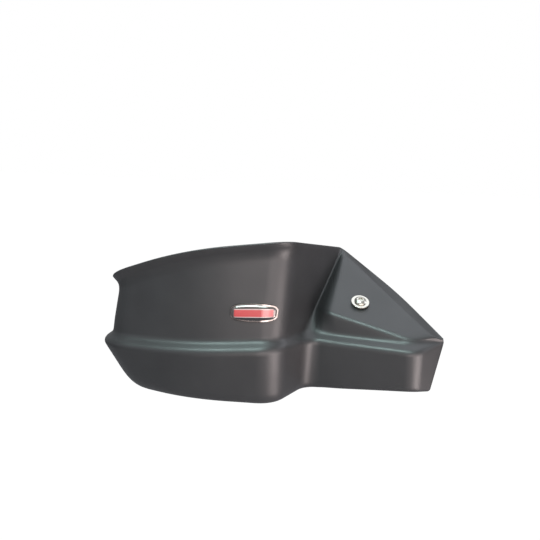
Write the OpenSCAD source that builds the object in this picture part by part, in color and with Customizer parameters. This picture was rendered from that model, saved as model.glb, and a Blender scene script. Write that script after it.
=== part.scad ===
// Motorcycle hand guard for the rider's right hand: a deep moulded shell with its fixing kit.
// X runs along the handlebar with the outboard end at -X, -Y is ahead of the bar, +Z is up.
// The origin is the middle of the bar clamp's bore.

/* [Shell plan] */
// Reach of the shell outboard of the bar clamp
reach_out = 180; // [165:1:200]
// Reach of the shell's front corner inboard of the bar clamp
reach_in = 84; // [76:1:90]
// How far the inboard front face stands ahead of the bar
front_y = 90; // [84:1:96]
// How far the bulge over the lever stands ahead of the inboard face
bulge = 52; // [44:1:60]
// Extra depth of the bulge at its middle
crown = 18; // [12:1:24]
// Rear edge of the side wall, behind the bar
rear_y = 20; // [17:1:26]
// Place of the brow, where the bulge turns back, along the bar
brow_x = -24; // [-30:1:-20]
// Place of the valley between the bulge and the bolt panel's housing
valley_x = -9; // [-12:1:-7]

/* [Shell heights] */
// Height of the ledge's outer edge over the bar axis
ledge_z = 24; // [22:1:27]
// Depth of the lower edge under the bar axis
keel_z = 19; // [17:1:23]
// Width of the ledge between the lower band and the wall
ledge_w = 8.5; // [7:0.5:10]
// Rise of the ledge from its outer edge to the wall
ledge_h = 7; // [5:0.5:9]
// Height of the deflector's lip over the ledge at the brow
deflector_h = 90; // [80:1:96]
// How much lower the lip is at the outboard corner
lip_drop = 34; // [28:1:40]
// Width of the flange turned in along the bottom
hem_w = 13; // [9:1:15]
// How far the lip flares out
lip_flare = 6; // [4:0.5:8]
// Wall thickness of the moulding
wall = 3; // [2.5:0.25:3.5]

/* [Bolt panel] */
// Panel bolt along the bar
panel_x = 28; // [26:0.5:30]
// Panel bolt ahead of the bar
panel_y = 60; // [58:0.5:62]
// Panel bolt over the bar
panel_z = 55; // [54:0.5:57]
// Angle of the panel's normal over the horizontal
panel_tilt = 60; // [58:0.5:62]
// Angle by which the panel faces inboard
panel_turn = 25; // [23:0.5:27]

/* [Fasteners] */
// Panel bolt thread diameter
panel_bolt_d = 6; // [5:0.5:8]
// Panel bolt length under the head
panel_bolt_l = 25; // [24:0.5:30]
// Bracket bolt thread diameter
bracket_bolt_d = 8; // [6:1:8]
// Bracket bolt length under the head
bracket_bolt_l = 16; // [12:1:17]
// Clamp screw thread diameter
clamp_screw_d = 6; // [5:1:6]
// Bar-end bolt thread diameter
end_bolt_d = 6; // [5:0.5:8]
// Diameter of the washer on the bolt panel
panel_washer_d = 16; // [15:0.5:18]
// Washer diameter as a multiple of its bolt's diameter
washer_ratio = 2; // [1.9:0.05:2.2]
// Washer thickness
washer_t = 1.6; // [1.2:0.1:2]
// Clearance round a bolt in a hole
bolt_gap = 0.2; // [0.15:0.05:0.4]
// Thickness of a grommet's outer flange
grommet_t = 1.2; // [1:0.1:1.6]
// Thickness of a grommet's inner flange
grommet_in_t = 2; // [1.5:0.25:3]
// Rubber round a bolt or collar in a grommet
grommet_wall = 1.5; // [1:0.25:2.5]
// Width of a grommet's flanges past the hole in the shell
grommet_lap = 1.4; // [1:0.1:2]

/* [Bracket] */
// Width of the bent strap
strap_w = 25; // [22:1:28]
// Thickness of the bent strap
strap_t = 3; // [2.5:0.25:4]
// Length of the strap past the panel bolt
strap_end = 13; // [12:0.5:15]
// Length of the tab from the panel bolt back to the bend
tab_l = 31; // [28:1:33]
// Half length of the foot on the clamp
foot_l = 13; // [12:0.5:15]
// Inside radius of the strap's bends
bend_r = 4; // [3:0.5:5]
// Length of the wide part of the collar under the shell
collar_l = 4; // [3:0.5:5]
// Wall of the collar in the grommet
collar_wall = 1.2; // [1:0.1:1.5]

/* [Bar clamp] */
// Diameter of the handlebar
bar_d = 22.2; // [22:0.1:23]
// Width of the clamp along the bar
clamp_w = 26; // [24:1:32]
// Wall of the rubber liner
liner_t = 1.5; // [1:0.25:2]
// Height of the clamp's flat top over the bar axis
clamp_top = 26; // [25:0.5:30]
// Depth of the clamp's rounded bottom under the bar axis
clamp_base = 18; // [17:0.5:21]
// Distance of each clamp screw from the bar axis
screw_y = 19; // [18:0.5:22]
// Gap between the two clamp halves
clamp_gap = 1.2; // [0.8:0.1:2]
// Length of thread of a clamp screw in the upper half
screw_grip = 11; // [9:0.5:14]

/* [Bar end] */
// Length of the turned weight between the bar end and the shell
weight_l = 20; // [16:1:26]
// Diameter of the turned weight
weight_d = 26; // [24:0.5:30]
// Inside diameter of the handlebar
bar_bore = 18; // [17:0.25:19]
// Clearance of the anchor inside the bar
bore_gap = 0.5; // [0.3:0.1:1]
// Length of the weight's spigot inside the bar
spigot_l = 4; // [3:0.5:8]
// Length of the rubber expander
expander_l = 25; // [20:1:32]
// Length of the cone nut
cone_l = 12; // [10:0.5:16]
// Side length of a weight groove
groove = 1.2; // [0.8:0.1:1.6]

/* [Badge] */
// Length of the badge
badge_l = 40; // [34:1:44]
// Height of the badge
badge_h = 16; // [14:0.5:18]
// Part of its height that the badge loses towards its ends
badge_bow = 0.3; // [0.1:0.05:0.4]
// Height of the badge's middle over the bar axis
badge_z = 58.5; // [56:0.5:62]
// Distance of the badge from the brow
badge_in = 4; // [2:0.5:12]
// Width of the badge's bright rim
badge_rim = 1.6; // [1.2:0.1:2]
// Thickness of the badge's foil base
badge_t = 1; // [0.8:0.1:1.4]
// Rise of the badge's dome over its base
dome_t = 1.4; // [1:0.1:1.8]

/* [Hidden] */
$fn = 48;
eps = 0.01;

abs_black = "#2b2b2d";
stainless = "#c9ccd0";
zinc = "#aeb2b5";
rubber_black = "#1c1c1c";
coat_black = "#202224";
cast_alloy = "#9a9da0";
badge_red = "#b01722";

// The panel's plane: a point of it over any place in plan, "off" mm outside its face
panel_n = [cos(panel_tilt) * sin(panel_turn), -cos(panel_tilt) * cos(panel_turn), sin(panel_tilt)];
panel_c = [panel_x, -panel_y, panel_z];
function on_panel(x, y, off = 0) =
    [x, y, panel_c[2] + (off - panel_n[0] * (x - panel_c[0]) - panel_n[1] * (y - panel_c[1])) / panel_n[2]];

// Corner lines of the moulding, from its inboard turned edge at the bottom up to the lip.
// Each has one point at each of nine stations: rear edge, bar-end pad, outboard corner, front,
// brow, valley, knee of the bolt panel, inboard corner and inboard rear edge.
nose_y = -front_y - bulge;
brow_z = ledge_z + ledge_h + 5;
apex_x = valley_x + 4;
tip_x = reach_in + 20;
side_y = -rear_y - 4;
shoulder_line = [
    [-reach_out, rear_y, ledge_z - 6], [-reach_out, side_y, ledge_z - 6],
    [-reach_out - 8.5, nose_y - crown + 2, ledge_z], [brow_x - 78, nose_y - crown, ledge_z],
    [brow_x, nose_y, ledge_z + 5], [valley_x, -front_y, ledge_z + 2],
    [valley_x + 22, -front_y, ledge_z + 1], [reach_in, -front_y, ledge_z],
    [reach_in + 19.5, -front_y + 29.5, ledge_z + 3.5]];
keel_line = [
    [-reach_out, rear_y, -keel_z], [-reach_out, side_y, -keel_z],
    [-reach_out + 12.5, nose_y - crown + 22, -keel_z - 1], [brow_x - 75, nose_y - crown + 8, -keel_z - 0.8],
    [brow_x - 2.5, nose_y + 7, -keel_z - 2.5], [valley_x - 4, -front_y + 5, -keel_z - 1.5],
    [valley_x + 22, -front_y + 3, -keel_z + 1], [reach_in - 1, -front_y + 3, -keel_z + 7],
    [reach_in + 11, -front_y + 20, -keel_z + 4]];
inset_dir = [[1, 0], [1, 0], [1, 0.9], [0.1, 1], [-0.7, 1], [-0.6, 1], [0, 1], [-0.6, 0.7], [-0.8, 0.2]];
hem_line = [for (i = [0:8]) let (p = keel_line[i], d = inset_dir[i])
    [p[0] + hem_w * d[0], p[1] + hem_w * d[1], p[2] - 1]];
root_line = [
    [-reach_out + ledge_w, rear_y, ledge_z + 2], [-reach_out + ledge_w, side_y, ledge_z + 2],
    [-reach_out - 8.5 + ledge_w, nose_y - crown + 2 + ledge_w, ledge_z + ledge_h - 2],
    [brow_x - 77, nose_y - crown + ledge_w, ledge_z + ledge_h],
    [brow_x, nose_y + ledge_w, brow_z], [valley_x - 6, -front_y + ledge_w - 1, brow_z - 4],
    [valley_x + 16, -front_y + ledge_w, ledge_z + ledge_h],
    [reach_in - 5, -front_y + ledge_w, ledge_z + ledge_h - 2],
    [reach_in + 19.5, -front_y + 29.1, ledge_z + 4.5]];
lip_z = brow_z + deflector_h - 7;
wall_top_line = [
    [-reach_out + ledge_w + 1, rear_y, ledge_z + 10], [-reach_out + ledge_w + 1, side_y, ledge_z + 14],
    [-reach_out + ledge_w - 0.5, nose_y - crown + ledge_w + 7, lip_z - lip_drop - 6],
    [brow_x - 76, nose_y - crown + ledge_w + 5, lip_z - 13.5],
    [brow_x + 6, nose_y + ledge_w + 9, lip_z - 4], on_panel(apex_x, -9, -1),
    on_panel(apex_x + 6, -8), on_panel(reach_in + 9, -front_y + 21.5),
    [reach_in + 19.3, -front_y + 28.3, ledge_z + 6.2]];
lip_line = [
    [-reach_out + ledge_w + 1 - lip_flare, rear_y, ledge_z + 14],
    [-reach_out + ledge_w + 1 - lip_flare, side_y, ledge_z + 18],
    [-reach_out + ledge_w - lip_flare, nose_y - crown + ledge_w + 7 - lip_flare, lip_z - lip_drop - 3.5],
    [brow_x - 76, nose_y - crown + ledge_w + 5 - lip_flare, lip_z - 9.5],
    [brow_x + 8, nose_y + ledge_w + 9 - lip_flare, lip_z], on_panel(apex_x + 1, -2, 0.5),
    on_panel(apex_x + 6, 0, -2.5), on_panel((apex_x + tip_x) / 2 + 8, -29.5, -3.5),
    on_panel(tip_x - 1, -front_y + 27.7, -3.5)];
crest_line = [for (i = [0:8])
    i < 6 ? mix(root_line[i], wall_top_line[i], 0.3) :
    i == 6 ? on_panel(valley_x + 12, -front_y + 9) :
    i == 7 ? on_panel(reach_in - 6, -front_y + 11) : [reach_in + 19.4, -front_y + 28.7, ledge_z + 5.3]];
corner_lines = [hem_line, keel_line, shoulder_line, root_line, crest_line, wall_top_line, lip_line];

// How far each corner is rounded, along the lines and across them
along = [[0, 8, 20, 40, 14, 10, 8, 8, 0], [0, 12, 30, 40, 16, 13, 8, 9, 0], [0, 16, 38, 40, 18, 14, 8, 10, 0],
    [0, 16, 30, 40, 17, 8, 8, 10, 0], [0, 16, 27, 40, 17, 5, 7, 10, 0], [0, 16, 25, 40, 18, 4, 5, 10, 0],
    [0, 16, 30, 40, 20, 4, 4, 22, 0]];
across = [[0, 0, 0, 0, 0, 0, 0, 0, 0], [8, 10, 20, 13, 11, 7, 6, 5, 3], [4.5, 4.5, 5, 5, 5, 4.5, 4.5, 4.5, 4],
    [3.5, 3.5, 3.5, 3.5, 3.5, 3.5, 3.5, 3.5, 2], [3.5, 3.5, 3.5, 3.5, 3.5, 3.5, 4, 3, 1],
    [3, 3, 3, 3, 3, 3, 3, 3, 1], [0, 0, 0, 0, 0, 0, 0, 0, 0]];
along_steps = [1, 4, 10, 8, 9, 9, 6, 8, 1];
along_runs = [0, 2, 1, 1, 1, 3, 2, 2];
across_steps = [1, 8, 6, 5, 5, 5, 1];
across_runs = [0, 0, 0, 3, 0, 0];

function mix(a, b, t) = a + (b - a) * t;
function unit(v) = norm(v) < 1e-9 ? [0, 0, 1] : v / norm(v);
function bend(a, p, b, t) = (1 - t) * (1 - t) * a + 2 * t * (1 - t) * p + t * t * b;
// A line through the points whose inner corners are rounded by r, with n points on each round
// and m points on each straight run between two rounds
function leave(pts, r, i) = let (p = pts[i]) i == 0 || i == len(pts) - 1 ? p :
    let (b = pts[i + 1] - p) p + unit(b) * min(r[i], 0.48 * norm(b));
function reach(pts, r, i) = let (p = pts[i]) i == 0 || i == len(pts) - 1 ? p :
    let (a = pts[i - 1] - p) p + unit(a) * min(r[i], 0.48 * norm(a));
function rounded(pts, r, n, m = 0) = [for (i = [0:len(pts) - 1])
    each concat(i == 0 || i == len(pts) - 1 ? [pts[i]] :
        [for (k = [0:n[i] - 1]) bend(reach(pts, r, i), pts[i], leave(pts, r, i), k / (n[i] - 1))],
        i == len(pts) - 1 || m == 0 ? [] :
        [for (k = [1:1:m[i]]) mix(leave(pts, r, i), reach(pts, r, i + 1), k / (m[i] + 1))])];
// The station number of each point that rounded() gives, for values between two stations
function stations(n, m) = [for (i = [0:len(n) - 1]) each concat(
    n[i] == 1 ? [i] : [for (k = [0:n[i] - 1]) i + (k / (n[i] - 1) - 0.5) * 0.96],
    i == len(n) - 1 ? [] : let (a = n[i] == 1 ? i : i + 0.48, b = n[i + 1] == 1 ? i + 1 : i + 0.52)
        [for (k = [1:1:m[i]]) mix(a, b, k / (m[i] + 1))])];
function at(list, s) = let (i = min(floor(s), len(list) - 2)) mix(list[i], list[i + 1], s - i);

long_lines = [for (i = [0:len(corner_lines) - 1]) rounded(corner_lines[i], along[i], along_steps, along_runs)];
place = stations(along_steps, along_runs);
outer = [for (c = [0:len(place) - 1])
    rounded([for (l = long_lines) l[c]], [for (a = across) at(a, place[c])], across_steps, across_runs)];
cols = len(outer);
rows = len(outer[0]);
function step(i, last) = [max(i - 1, 0), min(i + 1, last)];
function outward(c, r) = let (u = step(c, cols - 1), v = step(r, rows - 1))
    unit(cross(outer[u[1]][r] - outer[u[0]][r], outer[c][v[1]] - outer[c][v[0]]));
// The way into the wall: square to its face, and at the tip square to the band below for all rows
function inward(c, r) = let (t = r < 12 ? 0 : max(0, (place[c] - 7.4) / 0.6))
    -unit(mix(outward(c, r), outward(c, 10), t));
function thick(r) = wall * (r == rows - 1 ? 0.5 : 1);
inner = [for (c = [0:cols - 1]) [for (r = [0:rows - 1]) outer[c][r] + thick(r) * inward(c, r)]];

// Places for the fasteners, each with its axis along Z
module on_bolt_panel() { translate(panel_c) rotate([90 - panel_tilt, 0, panel_turn]) children(); }
module on_bar_end() { translate([-reach_out, 0, 0]) rotate([0, -90, 0]) children(); }
module ring(d, hole, h) {
    difference() {
        cylinder(d = d, h = h);
        translate([0, 0, -1]) cylinder(d = hole, h = h + 2);
    }
}

// One grommet's sizes follow from the bolt or collar that passes through it
collar_d = panel_bolt_d + 2 * bolt_gap + 2 * collar_wall;
panel_hole_d = collar_d + 2 * bolt_gap + 2 * grommet_wall;
end_hole_d = end_bolt_d + 2 * bolt_gap + 2 * grommet_wall;
end_washer_d = 3 * end_bolt_d;
inside = -wall - grommet_in_t;

module skin() {
    points = [for (c = outer) each c, for (c = inner) each c];
    half = cols * rows;
    quads = [for (c = [0:cols - 2]) for (r = [0:rows - 2]) let (a = c * rows + r)
        [a, a + 1, a + rows + 1, a + rows]];
    edge = concat([for (c = [0:cols - 2]) c * rows], [for (r = [0:rows - 2]) (cols - 1) * rows + r],
        [for (c = [cols - 1:-1:1]) c * rows + rows - 1], [for (r = [rows - 1:-1:1]) r]);
    faces = concat(
        [for (q = quads) each [[q[0], q[1], q[2]], [q[0], q[2], q[3]]]],
        [for (q = quads) each [[q[2] + half, q[1] + half, q[0] + half], [q[3] + half, q[2] + half, q[0] + half]]],
        [for (i = [0:len(edge) - 1]) let (a = edge[i], b = edge[(i + 1) % len(edge)])
            each [[a, b, b + half], [a, b + half, a + half]]]);
    polyhedron(points, faces, convexity = 10);
}

module shell() {
    color(abs_black) difference() {
        skin();
        on_bolt_panel() translate([0, 0, -wall - 2]) cylinder(d = panel_hole_d, h = wall + 4);
        on_bar_end() translate([0, 0, -wall - 2]) cylinder(d = end_hole_d, h = wall + 4);
    }
}

// A button-head screw: its head's seat is at z = 0 and its shank runs down
module button_screw(d, l, socket) {
    head_d = 1.75 * d;
    head_h = 0.55 * d;
    difference() {
        union() {
            translate([0, 0, -l]) cylinder(d = d, h = l + eps);
            intersection() {
                cylinder(d = head_d, h = head_h);
                translate([0, 0, head_h - 1.15 * d]) sphere(d = 2.3 * d);
            }
        }
        translate([0, 0, head_h * 0.42]) cylinder(d = socket / cos(30), h = head_h, $fn = 6);
    }
}
module cap_screw(d, l) {
    difference() {
        union() {
            translate([0, 0, -l]) cylinder(d = d, h = l + eps);
            cylinder(d = 1.65 * d, h = d);
        }
        translate([0, 0, d * 0.45]) cylinder(d = 0.83 * d / cos(30), h = d, $fn = 6);
    }
}
// A grommet through the wall whose outer face is at z = 0
module grommet(bore, hole) {
    lap_d = hole + 2 * grommet_lap;
    difference() {
        union() {
            cylinder(d = lap_d, h = grommet_t);
            translate([0, 0, -wall]) cylinder(d = hole, h = wall + eps);
            translate([0, 0, inside]) cylinder(d = lap_d + 2, h = grommet_in_t);
        }
        translate([0, 0, inside - 1]) cylinder(d = bore, h = wall + grommet_in_t + grommet_t + 2);
    }
}

seat = grommet_t + washer_t;
module panel_bolt() {
    color(stainless) on_bolt_panel() translate([0, 0, seat])
        button_screw(panel_bolt_d, panel_bolt_l, 0.625 * panel_bolt_d);
}
module panel_washer() {
    color(stainless) on_bolt_panel() translate([0, 0, grommet_t])
        ring(panel_washer_d, panel_bolt_d + 2 * bolt_gap, washer_t);
}
module panel_grommet() {
    color(rubber_black) on_bolt_panel() grommet(collar_d + 2 * bolt_gap, panel_hole_d);
}
tab_top = inside - collar_l;
module panel_collar() {
    color(zinc) on_bolt_panel() difference() {
        union() {
            translate([0, 0, tab_top]) cylinder(d = panel_hole_d + 2 * grommet_lap, h = collar_l);
            translate([0, 0, tab_top]) cylinder(d = collar_d, h = grommet_t - tab_top);
        }
        translate([0, 0, tab_top - 1]) cylinder(d = panel_bolt_d + 2 * bolt_gap, h = grommet_t - tab_top + 2);
    }
}
nut_seat = tab_top - strap_t;
module panel_nut_washer() {
    color(zinc) on_bolt_panel() translate([0, 0, nut_seat - washer_t])
        ring(washer_ratio * panel_bolt_d, panel_bolt_d + 2 * bolt_gap, washer_t);
}
module panel_nut() {
    nut_h = 0.95 * panel_bolt_d;
    collar_h = 0.3 * panel_bolt_d;
    color(zinc) on_bolt_panel() translate([0, 0, nut_seat - washer_t - nut_h]) difference() {
        union() {
            translate([0, 0, collar_h]) cylinder(d = 1.625 * panel_bolt_d / cos(30), h = nut_h - collar_h, $fn = 6);
            cylinder(d = 1.5 * panel_bolt_d, h = collar_h + eps);
        }
        translate([0, 0, -1]) cylinder(d = panel_bolt_d + bolt_gap, h = nut_h + 2);
    }
}

// The bent strap's middle line, in its own plane: foot, riser and tab
bolt_run = norm([panel_x, panel_y]);
slope = [sin(panel_tilt), cos(panel_tilt)];
tab_mid = tab_top - strap_t / 2;
tab_c = [-bolt_run - tab_mid * cos(panel_tilt), panel_z + tab_mid * sin(panel_tilt)];
foot_z = clamp_top + strap_t / 2;
strap_line = [[foot_l, foot_z], [-foot_l - bend_r / 2, foot_z], tab_c + tab_l * slope, tab_c - strap_end * slope];
strap_mid_r = bend_r + strap_t / 2;
// Bend of the middle line at corner i, as its setback and its points
function setback(i) = let (a = unit(strap_line[i - 1] - strap_line[i]), b = unit(strap_line[i + 1] - strap_line[i]))
    strap_mid_r / tan(acos(a * b) / 2);
strap_path = rounded(strap_line, [0, setback(1), setback(2), 0], [1, 9, 9, 1]);
function side(i, d) = let (k = step(i, len(strap_path) - 1), t = unit(strap_path[k[1]] - strap_path[k[0]]))
    strap_path[i] + d * [-t[1], t[0]];
module bracket() {
    last = len(strap_path) - 1;
    strap_turn = atan2(panel_x, panel_y);
    color(coat_black) difference() {
        rotate([0, 0, strap_turn]) intersection() {
            rotate([90, 0, 90]) translate([0, 0, -strap_w / 2]) linear_extrude(strap_w)
                polygon([for (i = [0:last]) side(i, strap_t / 2), for (i = [last:-1:0]) side(i, -strap_t / 2)]);
            union() {
                cylinder(d = strap_w, h = 3 * panel_z);
                translate([-strap_w / 2, -bolt_run, 0]) cube([strap_w, bolt_run, 3 * panel_z]);
                translate([0, -bolt_run + 5.5, 0]) cylinder(d = strap_w, h = 3 * panel_z);
            }
        }
        on_bolt_panel() translate([0, 0, nut_seat - 2]) cylinder(d = panel_bolt_d + 2 * bolt_gap, h = strap_t + 4);
        translate([0, 0, clamp_top - 1]) cylinder(d = bracket_bolt_d + 2 * bolt_gap, h = strap_t + 2);
    }
}
foot_top = clamp_top + strap_t;
module bracket_washer() {
    color(zinc) translate([0, 0, foot_top])
        ring(washer_ratio * bracket_bolt_d, bracket_bolt_d + 2 * bolt_gap, washer_t);
}
module bracket_bolt() {
    color(zinc) translate([0, 0, foot_top + washer_t]) button_screw(bracket_bolt_d, bracket_bolt_l, 0.625 * bracket_bolt_d);
}

// Two clamp halves round the bar's liner
liner_d = bar_d + 2 * liner_t;
clamp_d = 2 * screw_y + 2.4 * clamp_screw_d;
washer_h = 0.25 * clamp_screw_d;
head_seat = -clamp_gap / 2 - 7;
module clamp_bore() { rotate([0, 90, 0]) translate([0, 0, -clamp_w]) cylinder(d = liner_d, h = 2 * clamp_w); }
module each_screw() { for (y = [-screw_y, screw_y]) translate([0, y, 0]) children(); }
module clamp_half_outline(top) {
    lug = 2.4 * clamp_screw_d;
    offset(2) offset(-2) union() {
        intersection() {
            circle(d = liner_d + 10.8);
            translate([-clamp_d / 2, top ? clamp_gap / 2 : -clamp_d]) square([clamp_d, clamp_d - (top ? clamp_gap / 2 : clamp_gap / 2)]);
        }
        translate([-clamp_d / 2, top ? clamp_gap / 2 : head_seat]) square([clamp_d, top ? 13 : 7]);
        if (top) translate([-15, clamp_gap / 2]) square([30, clamp_top - clamp_gap / 2]);
    }
}
module clamp_block(top) { rotate([90, 0, 90]) translate([0, 0, -clamp_w / 2]) linear_extrude(clamp_w) clamp_half_outline(top); }
module clamp_upper() {
    color(cast_alloy) difference() {
        clamp_block(true);
        clamp_bore();
        translate([0, 0, foot_top + washer_t - bracket_bolt_l - 0.6])
            cylinder(d = bracket_bolt_d + bolt_gap, h = bracket_bolt_l);
        each_screw() cylinder(d = clamp_screw_d + bolt_gap, h = screw_grip + 1);
    }
}
module clamp_lower() {
    color(cast_alloy) difference() {
        clamp_block(false);
        clamp_bore();
        each_screw() translate([0, 0, head_seat - 1]) cylinder(d = clamp_screw_d + 2 * bolt_gap, h = 10);
        each_screw() translate([0, 0, head_seat - clamp_d]) cylinder(d = 2 * clamp_screw_d, h = clamp_d);
    }
}
module clamp_liner() {
    color(rubber_black) difference() {
        rotate([0, 90, 0]) translate([0, 0, -clamp_w / 2]) ring(liner_d, bar_d, clamp_w);
        translate([-clamp_w, 0, -clamp_gap / 2]) cube([2 * clamp_w, liner_d, clamp_gap]);
    }
}
module clamp_screws() {
    color(zinc) each_screw() translate([0, 0, head_seat - washer_h]) rotate([180, 0, 0])
        cap_screw(clamp_screw_d, screw_grip - head_seat + washer_h);
}
module clamp_spring_washers() {
    color(zinc) each_screw() translate([0, 0, head_seat - washer_h])
        ring(1.8 * clamp_screw_d, clamp_screw_d + 2 * bolt_gap, washer_h);
}

// Bar-end set, from the outside in
anchor_d = bar_bore - bore_gap;
weight_out = inside;
weight_in = weight_out - weight_l;
expander_out = weight_in - spigot_l;
cone_out = expander_out - expander_l;
module bar_end_bolt() {
    l = seat - cone_out + cone_l + 1;
    color(stainless) on_bar_end() translate([0, 0, seat]) button_screw(end_bolt_d, l, 0.66 * end_bolt_d);
}
module bar_end_washer() {
    color(stainless) on_bar_end() translate([0, 0, grommet_t]) ring(end_washer_d, end_bolt_d + 2 * bolt_gap, washer_t);
}
module bar_end_grommet() {
    color(rubber_black) on_bar_end() grommet(end_bolt_d + 2 * bolt_gap, end_hole_d);
}
module bar_end_weight() {
    r = weight_d / 2;
    mid = (weight_out + weight_in) / 2;
    color(zinc) on_bar_end() rotate_extrude() polygon([
        [end_bolt_d / 2 + bolt_gap, expander_out], [anchor_d / 2, expander_out], [anchor_d / 2, weight_in],
        [bar_d / 2, weight_in], [r, weight_in + r - bar_d / 2],
        for (k = [-1, 1]) each [[r, mid + 4 * k - groove], [r - groove, mid + 4 * k],
            [r, mid + 4 * k + groove]],
        [r, weight_out - groove], [r - groove, weight_out], [end_bolt_d / 2 + bolt_gap, weight_out]]);
}
module bar_end_expander() {
    flare = 2;
    color(rubber_black) on_bar_end() rotate_extrude() polygon([
        [end_bolt_d / 2 + bolt_gap, expander_out], [anchor_d / 2 - 0.8, expander_out],
        [anchor_d / 2, expander_out - 0.8], [anchor_d / 2, cone_out], [anchor_d / 2 - flare, cone_out],
        [end_bolt_d / 2 + bolt_gap, cone_out + flare * 2]]);
}
module bar_end_cone_nut() {
    flare = 2;
    color(zinc) on_bar_end() rotate_extrude() polygon([
        [end_bolt_d / 2 + bolt_gap / 2, cone_out + flare * 2], [end_bolt_d / 2 + bolt_gap, cone_out + flare * 2],
        [anchor_d / 2 - flare, cone_out], [anchor_d / 2 - 0.6, cone_out - flare],
        [anchor_d / 2 - 0.6, cone_out - cone_l + 1], [anchor_d / 2 - 1.6, cone_out - cone_l],
        [end_bolt_d / 2 + bolt_gap / 2, cone_out - cone_l]]);
}

// The badge follows the front wall: s runs along it and z up it from the badge's middle
front_cols = [for (c = [15:35]) c];
function wall_xy(c, z) = let (k = min(floor(c), cols - 2), f = c - k)
    [for (a = [0, 1]) mix(lookup(z, [for (p = outer[k]) if (p[2] > brow_z) [p[2], p[a]]]),
        lookup(z, [for (p = outer[k + 1]) if (p[2] > brow_z) [p[2], p[a]]]), f)];
wall_run = [for (c = front_cols) wall_xy(c, badge_z)];
function run_to(i) = i == 0 ? 0 : run_to(i - 1) + norm(wall_run[i] - wall_run[i - 1]);
run_cols = [for (i = [0:len(front_cols) - 1]) [run_to(i), front_cols[i]]];
brow_run = lookup(brow_x, [for (i = [0:len(front_cols) - 1]) [wall_run[i][0], run_to(i)]]);
function on_wall(s, z) = let (p = wall_xy(lookup(brow_run - badge_in - badge_l / 2 + s, run_cols), badge_z + z))
    [p[0], p[1], badge_z + z];
function off_wall(s, z, off) = on_wall(s, z)
    + off * unit(cross(on_wall(s + 1, z) - on_wall(s - 1, z), on_wall(s, z + 1) - on_wall(s, z - 1)));
badge_gap = 0.2;
badge_r = 0.34 * badge_h;
ends = [0, 0.08, 0.25, 0.55, 1];
// A pad on the wall, inset d from the badge's outline, from height "low" up to "high" with a soft edge
module pad(d, low, high, edge) {
    r = badge_r - d;
    half_l = badge_l / 2 - d;
    half_h = badge_h / 2 - d;
    mids = [for (k = [-4:4]) k / 4 * (half_l - r)];
    runs = concat([for (e = ends) -half_l + r * e], [for (k = [1:7]) mids[k]],
        [for (i = [len(ends) - 1:-1:0]) half_l - r * ends[i]]);
    function tall(s) = let (e = max(0, abs(s) - half_l + r))
        (half_h - r + sqrt(max(0, r * r - e * e))) * (1 - badge_bow * pow(s / half_l, 2));
    function rise(s, z) = let (e = min(half_l - abs(s), tall(s) - abs(z), edge) / max(edge, eps))
        high - (high - low) * 0.7 * pow(1 - max(0, e), 2.5);
    side = [-1, -0.94, -0.82, -0.5, 0, 0.5, 0.82, 0.94, 1];
    n = len(side);
    m = len(runs);
    top = [for (s = runs) for (t = side) off_wall(s, t * tall(s), rise(s, t * tall(s)))];
    base = [for (s = runs) for (t = side) off_wall(s, t * tall(s), low)];
    rim = concat([for (c = [0:m - 2]) c * n], [for (r = [0:n - 2]) (m - 1) * n + r],
        [for (c = [m - 1:-1:1]) c * n + n - 1], [for (r = [n - 1:-1:1]) r]);
    polyhedron(concat(top, base), concat(
        [for (c = [0:m - 2]) for (r = [0:n - 2]) let (a = c * n + r) each [[a, a + 1, a + n + 1], [a, a + n + 1, a + n]]],
        [for (c = [0:m - 2]) for (r = [0:n - 2]) let (a = c * n + r + m * n)
            each [[a + n + 1, a + 1, a], [a + n, a + n + 1, a]]],
        [for (i = [0:len(rim) - 1]) let (a = rim[i], b = rim[(i + 1) % len(rim)])
            each [[a, b, b + m * n], [a, b + m * n, a + m * n]]]), convexity = 4);
}
module badge_plate() { color(stainless) pad(0, badge_gap, badge_gap + badge_t, 0.01); }
module badge_dome() { color(badge_red) pad(badge_rim, badge_gap + badge_t + 0.05, badge_gap + badge_t + dome_t, 2.6); }

shell();
badge_plate();
badge_dome();
panel_bolt();
panel_washer();
panel_grommet();
panel_collar();
panel_nut_washer();
panel_nut();
bracket();
bracket_bolt();
bracket_washer();
clamp_upper();
clamp_lower();
clamp_liner();
clamp_screws();
clamp_spring_washers();
bar_end_bolt();
bar_end_washer();
bar_end_grommet();
bar_end_weight();
bar_end_expander();
bar_end_cone_nut();
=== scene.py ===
import math

import bmesh
import bpy
from mathutils import Matrix, Vector


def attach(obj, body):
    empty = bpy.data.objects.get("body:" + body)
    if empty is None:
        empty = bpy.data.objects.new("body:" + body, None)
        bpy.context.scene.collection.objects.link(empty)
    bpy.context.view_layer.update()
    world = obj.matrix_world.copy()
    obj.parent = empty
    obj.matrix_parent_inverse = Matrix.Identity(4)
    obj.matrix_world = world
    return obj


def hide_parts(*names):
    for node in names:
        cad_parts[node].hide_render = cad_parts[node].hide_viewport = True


# The hand guard, dressed over its solids. Sizes are in millimetres, as on the drawing.
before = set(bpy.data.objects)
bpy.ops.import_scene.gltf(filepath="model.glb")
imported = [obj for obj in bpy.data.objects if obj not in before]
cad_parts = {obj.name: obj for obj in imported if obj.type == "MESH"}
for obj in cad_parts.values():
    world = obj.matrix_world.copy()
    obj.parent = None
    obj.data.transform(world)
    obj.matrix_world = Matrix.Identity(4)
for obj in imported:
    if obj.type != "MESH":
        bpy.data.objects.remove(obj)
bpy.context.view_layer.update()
mm = 0.001
print("frame loaded with", len(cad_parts), "solids")


def setMode(mode):
    if bpy.context.object and bpy.context.object.mode != mode:
        bpy.ops.object.mode_set(mode=mode)


def clearSelection():
    setMode("OBJECT")
    bpy.ops.object.select_all(action="DESELECT")


def choose(piece):
    clearSelection()
    piece.select_set(True)
    bpy.context.view_layer.objects.active = piece


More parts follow.
